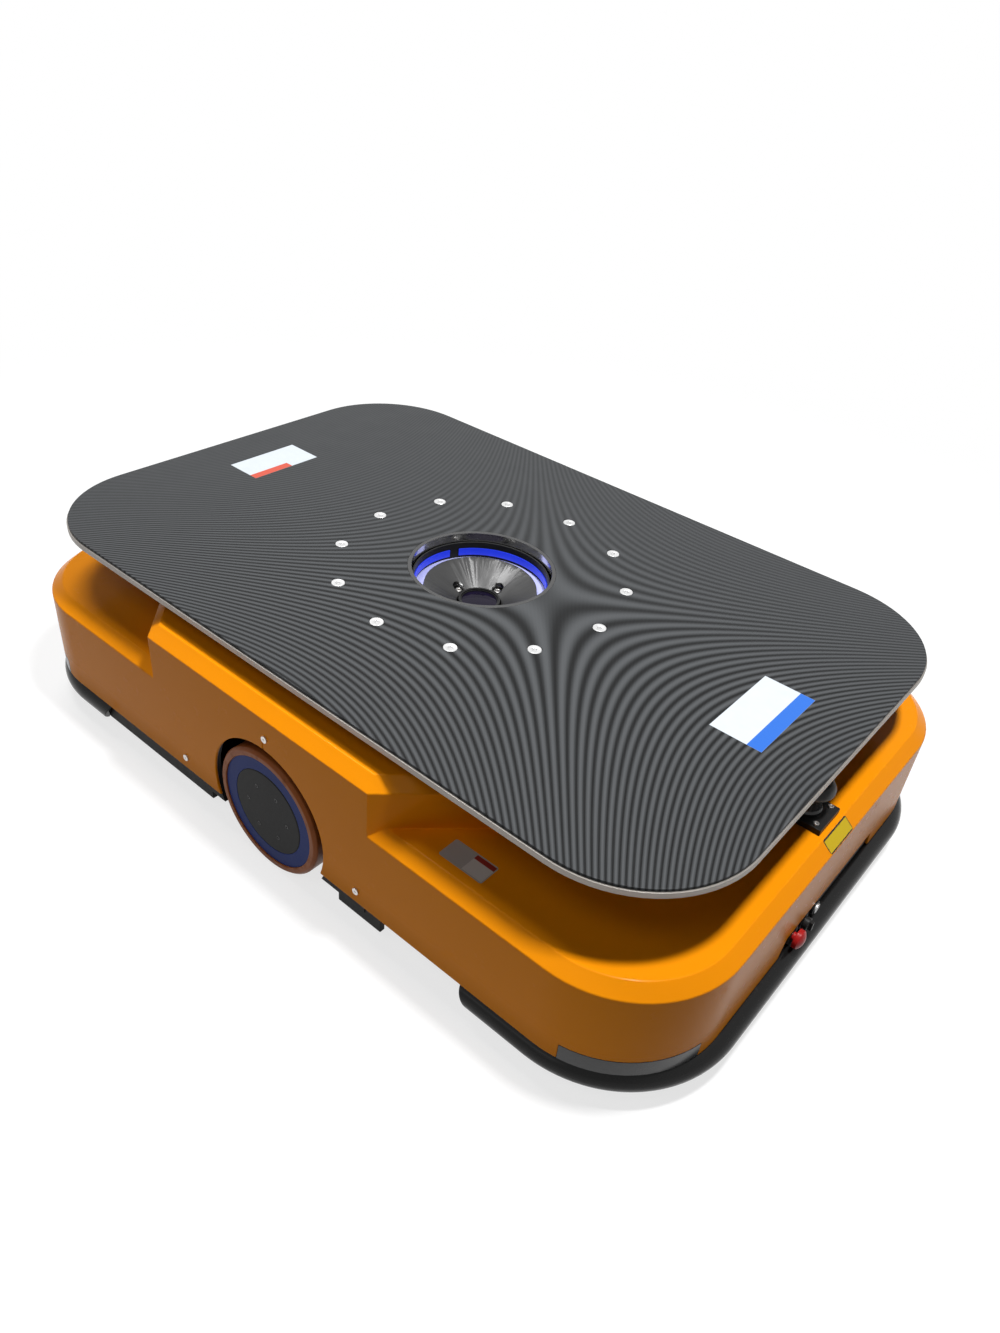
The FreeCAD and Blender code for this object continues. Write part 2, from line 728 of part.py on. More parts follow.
def castor_wheel(x, y):
    axle_x, z = x - castor_trail, castor_radius
    half = castor_width / 2
    bore = 6 + running_gap
    profile = [(bore, y - half - 1.5), (14, y - half - 1.5), (16, y - 8), (40, y - 8),
               (42, y - half), (47, y - half), (castor_radius, y - half + 3),
               (castor_radius, y + half - 3), (47, y + half), (42, y + half), (40, y + 8),
               (16, y + 8), (14, y + half + 1.5), (bore, y + half + 1.5)]
    return revolved_y(profile, axle_x, z)


# ---------------------------------------------------------------- lift
def guide_places():
    return [(sx * guide_post_x, sy * guide_post_y) for sx in (1, -1) for sy in (1, -1)]


def top_frame():
    """Bridge on four guide posts that holds the screws' upper ends."""
    z0, z1 = top_frame_top - top_frame_thickness, top_frame_top
    ends = [(block_rear + shell_wall + 2.5), (block_front - shell_wall - 2.5)]
    bridge = box(ends[0], ends[1], -bridge_half_y, bridge_half_y, z0, z1)
    upper = [e for e in bridge.Edges if e.BoundBox.ZMin > z1 - 0.1 and e.BoundBox.YLength > 1]
    bridge = bridge.makeChamfer(top_frame_thickness - 0.01, upper)
    bridge = bridge.cut([platform_well(1.5, z0 - 1, z1 + 1)])
    posts = []
    for x, y in guide_places():
        posts.append(rod(guide_post_radius, base_top, z0 + 1, x, y))
        posts.append(rod(guide_post_radius + 4, base_top, carriage_rest, x, y))
    holes = [rod(lift_screw_radius + running_gap, z0 - 1, z1 + 1, s * lift_screw_x,
                 s * lift_screw_y) for s in (1, -1)]
    return only_solid(fused(bridge, *posts).cut(holes))


def lift_screw(x, y):
    """Trapezoid screw with its belt pulley, standing in the base bearing."""
    spindle = rod(lift_screw_radius, base_top + seat_gap, top_frame_top - 1, x, y)
    return only_solid(fused(spindle, pulley(x, y)))


def pulley(x, y):
    z0 = belt_bottom - 2
    r = belt_pulley_radius
    return revolved([(0, z0), (r + 3, z0), (r + 3, z0 + 1.6), (r, z0 + 1.8), (r, z0 + 13.2),
                     (r + 3, z0 + 13.4), (r + 3, z0 + 15), (0, z0 + 15)], x, y)


def lift_belt():
    """Closed loop round the two screw pulleys and the motor's pulley."""
    z0, z1 = belt_bottom, belt_bottom + belt_width
    inner = belt_pulley_radius + seat_gap
    centres = [(lift_screw_x, lift_screw_y), (0.0, lift_motor_y), (-lift_screw_x, -lift_screw_y)]
    return only_solid(belt_loop(centres, inner + belt_thickness, z0, z1).cut(
        belt_loop(centres, inner, z0 - 1, z1 + 1)))


def belt_loop(centres, radius, z0, z1):
    """Solid that a belt of this radius round equal pulleys would enclose."""
    parts = [rod(radius, z0, z1, x, y) for x, y in centres]
    corners = []
    for (xa, ya), (xb, yb) in zip(centres, centres[1:] + centres[:1]):
        run = math.hypot(xb - xa, yb - ya)
        nx, ny = (yb - ya) / run * radius, -(xb - xa) / run * radius
        quad = [Vector(xa + nx, ya + ny, z0), Vector(xb + nx, yb + ny, z0),
                Vector(xb, yb, z0), Vector(xa, ya, z0)]
        corners.append(Part.Face(Part.makePolygon(quad + quad[:1])).extrude(Vector(0, 0, z1 - z0)))
    middle = Part.makePolygon([Vector(x, y, z0) for x, y in centres + centres[:1]])
    corners.append(Part.Face(middle).extrude(Vector(0, 0, z1 - z0)))
    return fused(*(parts + corners))


def lift_motor_bracket():
    """Shelf on two legs, clear of the belt, that the lift motor stands on."""
    z0, z1 = motor_shelf - 6, motor_shelf
    y = lift_motor_y
    shelf = box(-62, 36, y - 34, y + 41, z0, z1).cut(rod(13, z0 - 1, z1 + 1, 0, y))
    legs = [box(-62, -54, y - 9, y + 41, base_top - 1, z0 + 1),
            box(-10, 36, y + 33, y + 41, base_top - 1, z0 + 1)]
    return [shelf] + legs


def lift_motor():
    """Upright motor that drives the belt pulley under its shelf."""
    z0, z1 = motor_shelf, carriage_bottom - lift_motor_headroom
    body = box(-32, 32, lift_motor_y - 32, lift_motor_y + 32, z0, z1)
    body = body.makeChamfer(6, [e for e in body.Edges if abs(e.BoundBox.ZLength - z1 + z0) < 1e-6])
    return only_solid(body.cut(rod(6 + running_gap, z0 - 1, z0 + 20, 0, lift_motor_y)))


def lift_drive_pulley():
    shaft = rod(6, belt_bottom, motor_shelf + 18, 0, lift_motor_y)
    return only_solid(fused(pulley(0, lift_motor_y), shaft))


def lift_carriage():
    """Plate with guide bosses and nut bosses, and the neck that carries the race."""
    z0, z1 = carriage_bottom, carriage_top
    plate = box(carriage_rear, carriage_front, -carriage_half_y, carriage_half_y, z0, z1)
    plate = plate.makeFillet(14, [e for e in plate.Edges
                                  if abs(e.BoundBox.ZLength - carriage_thickness) < 1e-6])
    neck = tube(neck_outer, neck_inner, z0, race_bottom)
    ledge = tube(neck_inner + 2, well_outer - 5, z0, z0 + 8)
    guides = guide_places()
    nuts = [(s * lift_screw_x, s * lift_screw_y) for s in (1, -1)]
    bosses = [rod(16, carriage_rest, z0 + 1, x, y) for x, y in guides + nuts]
    body = fused(plate.cut(rod(neck_inner, z0 - 1, z1 + 1)), neck, ledge, *bosses)
    bores = [rod(guide_post_radius + running_gap, z0 - 30, z1 + 1, x, y) for x, y in guides]
    bores += [rod(lift_screw_radius + running_gap, z0 - 30, z1 + 1, x, y) for x, y in nuts]
    bores.append(rod(8 + running_gap, z0 - 1, z1 + 1, pinion_x))
    return only_solid(body.cut(bores))


def slew_race():
    """Fixed inner race of the slewing bearing, with its lip."""
    r = gear_bore - race_gap
    z0, z1 = race_bottom, hub_bottom - 1
    lip0, lip1 = z0 + 16, z0 + 24
    return revolved([(neck_inner + 4, z0), (r, z0), (r, lip0), (r + race_lip, lip0),
                     (r + race_lip, lip1), (r, lip1), (r, z1), (neck_inner + 4, z1)])


def slew_motor():
    """Gearmotor under the carriage that turns the pinion."""
    z1 = carriage_bottom
    body = fused(rod(27, z1 - 34, z1, pinion_x), rod(23, belt_bottom + 20, z1 - 33, pinion_x))
    return only_solid(body.cut(rod(8 + running_gap, z1 - 20, z1 + 1, pinion_x)))


# ---------------------------------------------------------------- gears
def gear_outline(teeth, pitch_radius, z, turn, thin):
    """Closed wire of a spur gear; each flank has three points on an involute."""
    base = pitch_radius * math.cos(math.radians(20))
    root, tip = pitch_radius - 1.25 * gear_module, pitch_radius + gear_module
    half_tooth = math.pi / (2 * teeth) - thin / (2 * pitch_radius)

    def involute(radius):
        ratio = max(radius / base, 1.0)
        return math.sqrt(ratio * ratio - 1) - math.acos(1 / ratio)

    at_pitch = involute(pitch_radius)
    flank = [(r, half_tooth + at_pitch - involute(r)) for r in (root, pitch_radius, tip)]
    points = []
    for i in range(teeth):
        middle = turn + 2 * math.pi * i / teeth
        for r, a in flank:
            points.append(Vector(r * math.cos(middle - a), r * math.sin(middle - a), z))
        for r, a in reversed(flank):
            points.append(Vector(r * math.cos(middle + a), r * math.sin(middle + a), z))
    return Part.makePolygon(points + points[:1])


def slew_gear():
    """Outer race of the slewing bearing with the ring gear cut on it."""
    z0, z1 = gear_bottom, hub_bottom
    teeth = Part.Face(gear_outline(gear_teeth, gear_pitch_radius, z0, 0.0, gear_backlash))
    ring = teeth.extrude(Vector(0, 0, gear_face))
    ring = fused(ring, rod(gear_pitch_radius - 5, z0 + gear_face - 1, z1))
    lip0, lip1 = race_bottom + 16 - race_gap, race_bottom + 24 + race_gap
    hollow = fused(rod(gear_bore, z0 - 1, z1 + 1), rod(gear_bore + race_lip, lip0, lip1))
    return only_solid(ring.cut(hollow))


def slew_pinion():
    z0 = gear_bottom
    turn = math.pi / pinion_teeth
    outline = gear_outline(pinion_teeth, pinion_pitch_radius, z0, turn, gear_backlash)
    gear = Part.Face(outline).extrude(Vector(0, 0, gear_face))
    gear.translate(Vector(pinion_x, 0, 0))
    return only_solid(gear.fuse(rod(8, carriage_bottom - 18, z0 + 2, pinion_x)).removeSplitter())


# ---------------------------------------------------------------- sensor well
def well_housing():
    """Black cup in the carriage's neck, with a ledge for the reflector."""
    z0 = carriage_bottom + 8
    cup = rod(well_outer, z0, well_top).cut(rod(well_outer - well_wall, z0 + 5, well_top + 1))
    ledge = tube(well_outer - 1, funnel_top_radius + 1, reflector_z - 4, reflector_z)
    return only_solid(fused(cup, ledge))


def well_reflector():
    """Pale flat ring between the lit wall and the funnel's rim."""
    return tube(well_outer - well_wall, funnel_top_radius + 1, reflector_z, reflector_z + 5)


def light_ring():
    """Three curved light strips on the cup's inner wall, with dark gaps between."""
    outer = well_outer - well_wall
    half_gap = light_gap_degrees / 2
    return [sector(outer, outer - 1.6, light_low, light_high,
                   light_turn + 120 * i + half_gap, light_turn + 120 * (i + 1) - half_gap)
            for i in range(3)]


def camera_funnel():
    """Turned cone with four deep screw seats and a foot round the lens barrel."""
    t = 3.0
    r0, r1 = funnel_bottom_radius, funnel_top_radius
    z0, z1 = funnel_bottom, funnel_top
    floor = carriage_bottom + 8 + 5
    cone = revolved([(r0, z0), (r1 - 1, z1), (r1, z1), (r1, z1 - t), (r0 + t, z0 - t),
                     (r0 + t, floor), (r0, floor)])
    slope = (z1 - z0) / (r1 - r0)
    seat_r = 42.0
    face_z = z0 + (seat_r - r0) * slope
    bosses, pockets = [], []
    for x, y in ((seat_r, 0), (0, seat_r), (-seat_r, 0), (0, -seat_r)):
        bosses.append(rod(11, face_z - 16, face_z - 1, x, y))
        pockets.append(rod(8.6, face_z - 9, face_z + 12, x, y))
        pockets.append(rod(3.2, face_z - 20, face_z, x, y))
    above = revolved([(r0, z0), (r1 + 8, z1 + 8 * slope), (r1 + 8, z1 + 30), (r0, z1 + 30)])
    keep = rod(lens_barrel_radius + 1, floor - 1, z1 + 5)
    return only_solid(fused(cone, *[b.cut(above).cut(keep) for b in bosses]).cut(pockets))


def funnel_screws():
    slope = (funnel_top - funnel_bottom) / (funnel_top_radius - funnel_bottom_radius)
    seat_r = 42.0
    seat_z = funnel_bottom + (seat_r - funnel_bottom_radius) * slope - 9
    screws = []
    for x, y in ((seat_r, 0), (0, seat_r), (-seat_r, 0), (0, -seat_r)):
        screw = rod(5.2, seat_z, seat_z + 5, x, y).fuse(rod(3, seat_z - 16, seat_z, x, y))
        screws.append(only_solid(screw.cut(rod(2.4, seat_z + 2.5, seat_z + 6, x, y))))
    return screws


def camera_barrel():
    floor = carriage_bottom + 8 + 5
    top = funnel_bottom + 4
    r = lens_barrel_radius
    return revolved([(0, floor), (r, floor), (r, top), (r - 3, top), (r - 3, top - 2),
                     (r - 4.5, top - 2), (r - 4.5, top - 5), (0, top - 5)])


def camera_lens():
    z = funnel_bottom + 4 - 5
    r = lens_barrel_radius - 4.6
    return revolved([(0, z), (r, z), (r, z + 1.5), (r * 0.7, z + 2.6), (0, z + 3.4)])


# ---------------------------------------------------------------- platform
def bolt_places():
    radius = platform_bolt_circle / 2
    step = 2 * math.pi / platform_bolt_count
    return [(radius * math.cos(i * step), radius * math.sin(i * step))
            for i in range(platform_bolt_count)]


def platform_plate():
    plate = rounded_slab(platform_length / 2, platform_width / 2, platform_corner,
                         plate_bottom, mat_bottom)
    cuts = [rod(eye_radius + eye_ring_wall, plate_bottom - 1, mat_bottom + 1)]
    for x, y in bolt_places():
        cuts.append(rod(bolt_shank_radius + bolt_clearance, plate_bottom - 1, mat_bottom + 1, x, y))
        cuts.append(rod(bolt_head_radius + bolt_clearance, mat_bottom - 2, mat_bottom + 1, x, y))
    return only_solid(plate.cut(cuts))


def platform_mat():
    mat = rounded_slab(platform_length / 2 - 2, platform_width / 2 - 2, platform_corner - 2,
                       mat_bottom, platform_top)
    cuts = [rod(eye_radius + eye_ring_wall, mat_bottom - 1, platform_top + 1)]
    cuts += [rod(bolt_head_radius + bolt_clearance, mat_bottom - 1, platform_top + 1, x, y)
             for x, y in bolt_places()]
    return only_solid(mat.cut(cuts))


def platform_bolts():
    bolts = []
    for x, y in bolt_places():
        head = rod(bolt_head_radius, mat_bottom - 2, platform_top - 0.3, x, y)
        shank = rod(bolt_shank_radius, hub_bottom + 4, mat_bottom - 2, x, y)
        socket = rod(3.4, platform_top - 4, platform_top + 1, x, y)
        bolts.append(only_solid(head.fuse(shank).cut(socket)))
    return bolts


def eye_ring():
    return tube(eye_radius + eye_ring_wall, eye_radius, platform_top - eye_ring_depth, platform_top)


def platform_hub():
    hub = tube(hub_radius, eye_radius + eye_ring_wall, hub_bottom, plate_bottom)
    holes = [rod(bolt_shank_radius + bolt_clearance, hub_bottom - 1, plate_bottom + 1, x, y)
             for x, y in bolt_places()]
    return only_solid(hub.cut(holes))


# ---------------------------------------------------------------- inner boxes
def battery_pack():
    x0 = -half_length + battery_end_gap
    pack = box(x0, x0 + battery_length, -battery_width / 2, battery_width / 2,
               base_top, base_top + battery_height)
    upright = [e for e in pack.Edges if abs(e.BoundBox.ZLength - battery_height) < 1e-6]
    return pack.makeChamfer(6, upright)


def controller_box():
    x1 = half_length - controller_end_gap
    x0 = x1 - controller_length
    top = base_top + controller_height
    case = box(x0, x1, -controller_width / 2, controller_width / 2, base_top, top)
    count = int((controller_width - fin_thickness) / fin_pitch)
    first = -((count - 1) * fin_pitch + fin_thickness) / 2
    fins = [box(x0 + 8, x1 - 8, first + fin_pitch * i, first + fin_pitch * i + fin_thickness,
                top - 1, top + fin_height) for i in range(count)]
    return fused(case, *fins)


def build():
    os.makedirs("parts", exist_ok=True)
    write("body_shell", body_shell())
    write("body_screws", *body_screws())
    write("chassis_frame", chassis_frame())
    front = bumper(front_bumper_start)
    rear = bumper(rear_bumper_start)
    write("front_bumper", front)
    write("rear_bumper", only_solid(rear.mirror(Vector(0, 0, 0), Vector(1, 0, 0))))
    write("corner_lamps", *corner_lamps())
    write("control_panel", control_panel())
    write("panel_collars", *panel_collars())
    write("stop_button", stop_button())
    write("selector_knob", selector_knob())
    write("push_button", push_button())
    write("scanner_foot", scanner_foot())
    write("scanner_body", scanner_body())
    write("scanner_cap", scanner_cap())
    write("battery_pack", battery_pack())
    write("controller_box", controller_box())
    for side, place in (("left", lambda s: s), ("right", mirrored_y)):
        write("swing_arm_" + side, place(swing_arm()))
        write("arm_spring_" + side, place(spring()))
        write("gearmotor_" + side, place(gearmotor()))
        write("wheel_tyre_" + side, place(wheel_tyre()))
        write("wheel_rim_" + side, place(wheel_rim()))
        write("hub_cover_" + side, place(hub_cover()))
    names = ("front_left", "front_right", "rear_left", "rear_right")
    for name, (x, y) in zip(names, castor_places()):
        write("castor_fork_" + name, castor_fork(x, y))
        write("castor_wheel_" + name, castor_wheel(x, y))
    write("castor_mounts", *[castor_mount(x, y) for x, y in castor_places()])
    write("top_frame", top_frame())
    write("lift_screw_front", lift_screw(lift_screw_x, lift_screw_y))
    write("lift_screw_rear", lift_screw(-lift_screw_x, -lift_screw_y))
    write("lift_drive_pulley", lift_drive_pulley())
    write("lift_belt", lift_belt())
    write("lift_motor", lift_motor())
    write("lift_carriage", lift_carriage())
    write("slew_race", slew_race())
    write("slew_gear", slew_gear())
    write("slew_pinion", slew_pinion())
    write("slew_motor", slew_motor())
    write("well_housing", well_housing())
    write("well_reflector", well_reflector())
    write("light_ring", *light_ring())
    write("camera_funnel", camera_funnel())
    write("funnel_screws", *funnel_screws())
    write("camera_barrel", camera_barrel())
    write("camera_lens", camera_lens())
    write("platform_hub", platform_hub())
    write("platform_plate", platform_plate())
    write("platform_mat", platform_mat())
    write("platform_bolts", *platform_bolts())
    write("eye_ring", eye_ring())


build()
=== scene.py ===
import json
import math

import bmesh
import bpy
from mathutils import Matrix, Vector

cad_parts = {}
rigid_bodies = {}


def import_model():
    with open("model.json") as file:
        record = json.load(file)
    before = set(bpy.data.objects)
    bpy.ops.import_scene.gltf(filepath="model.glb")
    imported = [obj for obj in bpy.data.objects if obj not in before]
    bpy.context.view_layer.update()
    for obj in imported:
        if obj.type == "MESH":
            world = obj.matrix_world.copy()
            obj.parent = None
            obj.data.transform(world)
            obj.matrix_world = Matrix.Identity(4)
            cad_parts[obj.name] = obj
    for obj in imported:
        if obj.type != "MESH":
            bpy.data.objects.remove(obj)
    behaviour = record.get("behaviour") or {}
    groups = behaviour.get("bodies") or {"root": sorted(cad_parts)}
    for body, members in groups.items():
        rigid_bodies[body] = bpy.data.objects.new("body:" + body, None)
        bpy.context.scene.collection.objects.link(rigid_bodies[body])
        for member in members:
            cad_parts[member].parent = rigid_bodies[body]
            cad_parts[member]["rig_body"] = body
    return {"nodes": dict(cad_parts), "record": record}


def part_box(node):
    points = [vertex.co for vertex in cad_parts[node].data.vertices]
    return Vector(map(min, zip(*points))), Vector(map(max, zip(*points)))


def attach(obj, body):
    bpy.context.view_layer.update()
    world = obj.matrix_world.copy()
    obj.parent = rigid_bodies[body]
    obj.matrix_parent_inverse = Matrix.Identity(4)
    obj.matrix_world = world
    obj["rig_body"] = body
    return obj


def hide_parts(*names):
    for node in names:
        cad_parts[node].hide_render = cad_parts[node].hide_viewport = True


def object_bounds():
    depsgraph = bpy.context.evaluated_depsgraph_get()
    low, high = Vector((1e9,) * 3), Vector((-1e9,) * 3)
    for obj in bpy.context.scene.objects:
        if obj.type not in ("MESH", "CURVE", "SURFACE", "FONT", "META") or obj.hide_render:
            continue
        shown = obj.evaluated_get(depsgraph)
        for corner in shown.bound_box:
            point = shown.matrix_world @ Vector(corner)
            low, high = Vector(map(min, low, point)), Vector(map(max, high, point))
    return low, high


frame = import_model()
cad_low, cad_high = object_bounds()
nodes = frame["nodes"]
slot_of = {part["node"]: part["material_slot"] for part in frame["record"]["subparts"]}

# ---------------------------------------------------------------- room and camera
# A pale floor under soft lamps. The camera looks down over the robot's front right corner.
camera_data = bpy.data.cameras.new("camera")
camera_data.sensor_width = 36.0
camera_data.lens = 26.79
camera = bpy.data.objects.new("camera", camera_data)
camera_right = Vector((0.7594, 0.6448, 0.0871))
camera_up = Vector((-0.4339, 0.4023, 0.8062))
camera_back = Vector((0.4848, -0.65, 0.5853))
camera.matrix_world = Matrix.Translation((0.7801, -0.9770, 1.0383)) @ Matrix(
    (camera_right, camera_up, camera_back)).transposed().to_4x4()
bpy.context.scene.collection.objects.link(camera)
bpy.context.scene.camera = camera
bpy.context.scene.view_settings.view_transform = "Standard"


def lamp(name, place, towards, width, height, watts, colour=(1, 1, 1)):
    """A soft rectangular lamp that faces a point."""
    data = bpy.data.lights.new(name, "AREA")
    data.shape = "RECTANGLE"
    data.size = width
    data.size_y = height
    data.energy = watts
    data.color = colour
    made = bpy.data.objects.new(name, data)
    made.location = place
    made.rotation_euler = (Vector(towards) - Vector(place)).to_track_quat("-Z", "Y").to_euler()
    bpy.context.scene.collection.objects.link(made)


lamp("front ceiling panel", (0.78, 0.05, 3.0), (0.3, 0, 0.2), 0.3, 0.3, 92)
lamp("rear ceiling panel", (-1.3, 0.1, 3.0), (-0.1, 0, 0.2), 1.4, 0.6, 60)
lamp("right panel", (-0.3, -3.2, 1.6), (0, 0, 0.2), 2.4, 1.0, 6)
lamp("upper right panel", (0.1, -1.9, 2.8), (0, 0, 0.2), 1.6, 0.8, 8)


class Signal:
    """A value on its way between nodes; arithmetic on it adds Math nodes."""

    def __init__(self, tree, socket):
        self.tree = tree
        self.socket = socket

    def math(self, operation, *values):
        return self.tree.math(operation, *values)

    def __add__(self, other):
        return self.math("ADD", self, other)

    def __radd__(self, other):
        return self.math("ADD", other, self)

    def __sub__(self, other):
        return self.math("SUBTRACT", self, other)

    def __rsub__(self, other):
        return self.math("SUBTRACT", other, self)

    def __mul__(self, other):
        return self.math("MULTIPLY", self, other)

    def __rmul__(self, other):
        return self.math("MULTIPLY", other, self)

    def __truediv__(self, other):
        return self.math("DIVIDE", self, other)

    def sine(self):
        return self.math("SINE", self)

    def size(self):
        return self.math("ABSOLUTE", self)

    def sharp(self, low, high):
        """0 below low, 1 above high, and smooth between."""
        return self.tree.node("ShaderNodeMapRange", {"interpolation_type": "SMOOTHSTEP"},
                              Value=self, From_Min=low, From_Max=high)


class Tree:
    """A node tree; one method adds any node, with its settings first and then its sockets."""

    def math(self, operation, *values):
        sockets = {"_%d" % i: value for i, value in enumerate(values)}
        return self.node("ShaderNodeMath", {"operation": operation}, **sockets)

    def node(self, kind, settings=None, output=0, **sockets):
        made = self.tree.nodes.new(kind)
        for key, value in (settings or {}).items():
            setattr(made, key, value)
        for key, value in sockets.items():
            spot = int(key[1:]) if key[0] == "_" else key.replace("_", " ")
            self.feed(made.inputs[spot], value)
        return Signal(self, made.outputs[output])

    def plainly_seen(self):
        """1 where the camera, a gloss or a clear piece looks straight at the surface."""
        seen = [self.node("ShaderNodeLightPath", output="Is %s Ray" % kind)
                for kind in ("Camera", "Glossy", "Transmission")]
        return self.math("MINIMUM", seen[0] + seen[1] + seen[2], 1.0)

    def feed(self, socket, value):
        if isinstance(value, Signal):
            self.tree.links.new(value.socket, socket)
        else:
            socket.default_value = value


class Room(Tree):
    """The pale room: white where it is seen or mirrored, dimmer as a source of light."""

    def __init__(self):
        world = bpy.data.worlds.new("pale room")
        bpy.context.scene.world = world
        world.use_nodes = True
        self.tree = world.node_tree
        dim = self.tree.nodes["Background"]
        dim.inputs["Color"].default_value = (0.03, 0.03, 0.031, 1)
        white = self.node("ShaderNodeBackground", Color=(1, 1, 1, 1))
        choose = self.node("ShaderNodeMixShader", _0=self.plainly_seen(),
                           _1=Signal(self, dim.outputs[0]), _2=white)
        self.feed(self.tree.nodes["World Output"].inputs[0], choose)


Room()


class Finish(Tree):
    """A surface finish. What is the same all over goes straight onto the shader."""

    def __init__(self, name, **constant):
        self.material = bpy.data.materials.new(name)
        self.material.use_nodes = True
        self.tree = self.material.node_tree
        self.shader = self.tree.nodes["Principled BSDF"]
        self.wear(**constant)

    def wear(self, **sockets):
        for key, value in sockets.items():
            self.feed(self.shader.inputs[key.replace("_", " ")], value)

    def place(self):
        return self.node("ShaderNodeTexCoord", output="Object")

    def axes(self):
        """x, y and z of the point, in metres."""
        split = self.node("ShaderNodeSeparateXYZ", Vector=self.place()).socket.node
        return [Signal(self, socket) for socket in split.outputs]

    def noise(self, scale, detail=3.0, stretch=(1, 1, 1), rough=0.5):
        spot = self.node("ShaderNodeMapping", Vector=self.place(), Scale=stretch)
        return self.node("ShaderNodeTexNoise", Vector=spot, Scale=scale, Detail=detail,
                         Roughness=rough)

    def mix(self, share, first, second):
        return self.node("ShaderNodeMix", {"data_type": "RGBA"}, 2, _0=share, _6=first, _7=second)

    def bump(self, height, depth, strength=1.0):
        self.wear(Normal=self.node("ShaderNodeBump", Height=height, Distance=depth,
                                   Strength=strength))


def grey(level, warm=0.0):
    return (level * (1 + warm), level, level * (1 - warm), 1)


near_floor_glow = 0.73
fade_starts, fade_ends = 0.5, 4.5
floor_reach = 9.0
floor_finish = Finish("studio floor", Roughness=0.9)
floor_finish.wear(Base_Color=floor_finish.mix(floor_finish.noise(0.7), grey(0.25), grey(0.28)))
x, y, height = floor_finish.axes()
away = (x * x + y * y).sharp(fade_starts, fade_ends)
near_glow = floor_finish.node("ShaderNodeEmission", Color=(1, 1, 1, 1),
                              Strength=floor_finish.plainly_seen() * near_floor_glow)
far_glow = floor_finish.node("ShaderNodeEmission", Color=(1, 1, 1, 1),
                             Strength=floor_finish.plainly_seen())
lit_floor = floor_finish.node("ShaderNodeAddShader", _1=near_glow,
                              _0=Signal(floor_finish, floor_finish.shader.outputs[0]))
whole_floor = floor_finish.node("ShaderNodeMixShader", _0=away, _1=lit_floor, _2=far_glow)
floor_finish.feed(floor_finish.tree.nodes["Material Output"].inputs[0], whole_floor)
floor_mesh = bpy.data.meshes.new("floor")
floor_corners = [(a * floor_reach, b * floor_reach, 0)
                 for a, b in ((-1, -1), (1, -1), (1, 1), (-1, 1))]
floor_mesh.from_pydata(floor_corners, [], [(0, 1, 2, 3)])
floor_mesh.materials.append(floor_finish.material)
floor = bpy.data.objects.new("floor", floor_mesh)
bpy.context.scene.collection.objects.link(floor)

# ---------------------------------------------------------------- body shell
# One skin of folded and welded sheet steel, ground smooth at the bends and powder coated orange.
# Coating leaves a fine orange peel and rougher dusty patches; the lowest ten centimetres go darker
# and rougher towards the floor.
orange = Finish("orange powder coat", IOR=1.5, Specular_IOR_Level=0.03, Coat_Weight=0.03,
                Coat_Roughness=0.06)
peel = orange.noise(520, 2.0)
cloud = orange.noise(5, 4.0)
height = orange.axes()[2]
dust = orange.noise(38, 5.0, rough=0.65).sharp(0.6, 0.78) * 0.2
# darker and rougher towards the bottom, over the lowest ten centimetres
low = (0.1 - height).sharp(0.0, 0.045) * 0.3
paint = orange.mix(cloud, (0.88, 0.29, 0.003, 1), (0.82, 0.26, 0.003, 1))
orange.wear(Base_Color=orange.mix(low, paint, (0.42, 0.13, 0.01, 1)))
orange.wear(Roughness=dust + 0.26 + low * 0.5)
orange.bump(peel, 0.00005, 0.3)


def solid_copy(node):
    """A CAD node's mesh with its loose triangles joined and its flat faces whole."""
    mesh = nodes[node].data.copy()
    shape = bmesh.new()
    shape.from_mesh(mesh)
    bmesh.ops.remove_doubles(shape, verts=shape.verts, dist=2e-6)
    bmesh.ops.dissolve_limit(shape, angle_limit=math.radians(0.6), verts=shape.verts,
                             edges=shape.edges, delimit={"NORMAL"})
    shape.to_mesh(mesh)
    shape.free()
    mesh.materials.clear()
    return mesh


def plain_mesh(made, name):
    """The object's finished mesh, with its modifiers worked in."""
    bpy.context.view_layer.update()
    done = made.evaluated_get(bpy.context.evaluated_depsgraph_get())
    mesh = bpy.data.meshes.new_from_object(done)
    mesh.name = name
    bpy.data.objects.remove(made)
    return mesh


def show(name, mesh, finish, body, slot, *stands_for):
    """Puts a finished mesh on its body."""
    made = bpy.data.objects.new(name, mesh)
    bpy.context.scene.collection.objects.link(made)
    mesh.materials.clear()
    mesh.materials.append(finish.material)
    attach(made, body)
    if stands_for:
        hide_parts(*stands_for)
    return made


def dressed(node, finish, edge=0.0006, steps=2, smooth=32.0):
    """A CAD piece with its sharp edges broken, as grinding or moulding leaves them."""
    work = bpy.data.objects.new(node + "_work", solid_copy(node))
    bpy.context.scene.collection.objects.link(work)
    if edge:
        bevel = work.modifiers.new("edge", "BEVEL")
        bevel.width = edge
        bevel.segments = steps
        bevel.limit_method = "ANGLE"
        bevel.angle_limit = math.radians(smooth)
        bevel.use_clamp_overlap = False
        bevel.miter_outer = "MITER_SHARP"
    mesh = plain_mesh(work, node)
    mesh.shade_smooth()
    mesh.set_sharp_from_angle(angle=math.radians(smooth if not edge else 50.0))
    work = bpy.data.objects.new(node + "_work", mesh)
    bpy.context.scene.collection.objects.link(work)
    even = work.modifiers.new("normals", "WEIGHTED_NORMAL")
    even.keep_sharp = True
    mesh = plain_mesh(work, node)
    return show(node + "_dressed", mesh, finish, nodes[node]["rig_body"], slot_of[node], node)


dressed("body_shell", orange, 0.0014, 3)

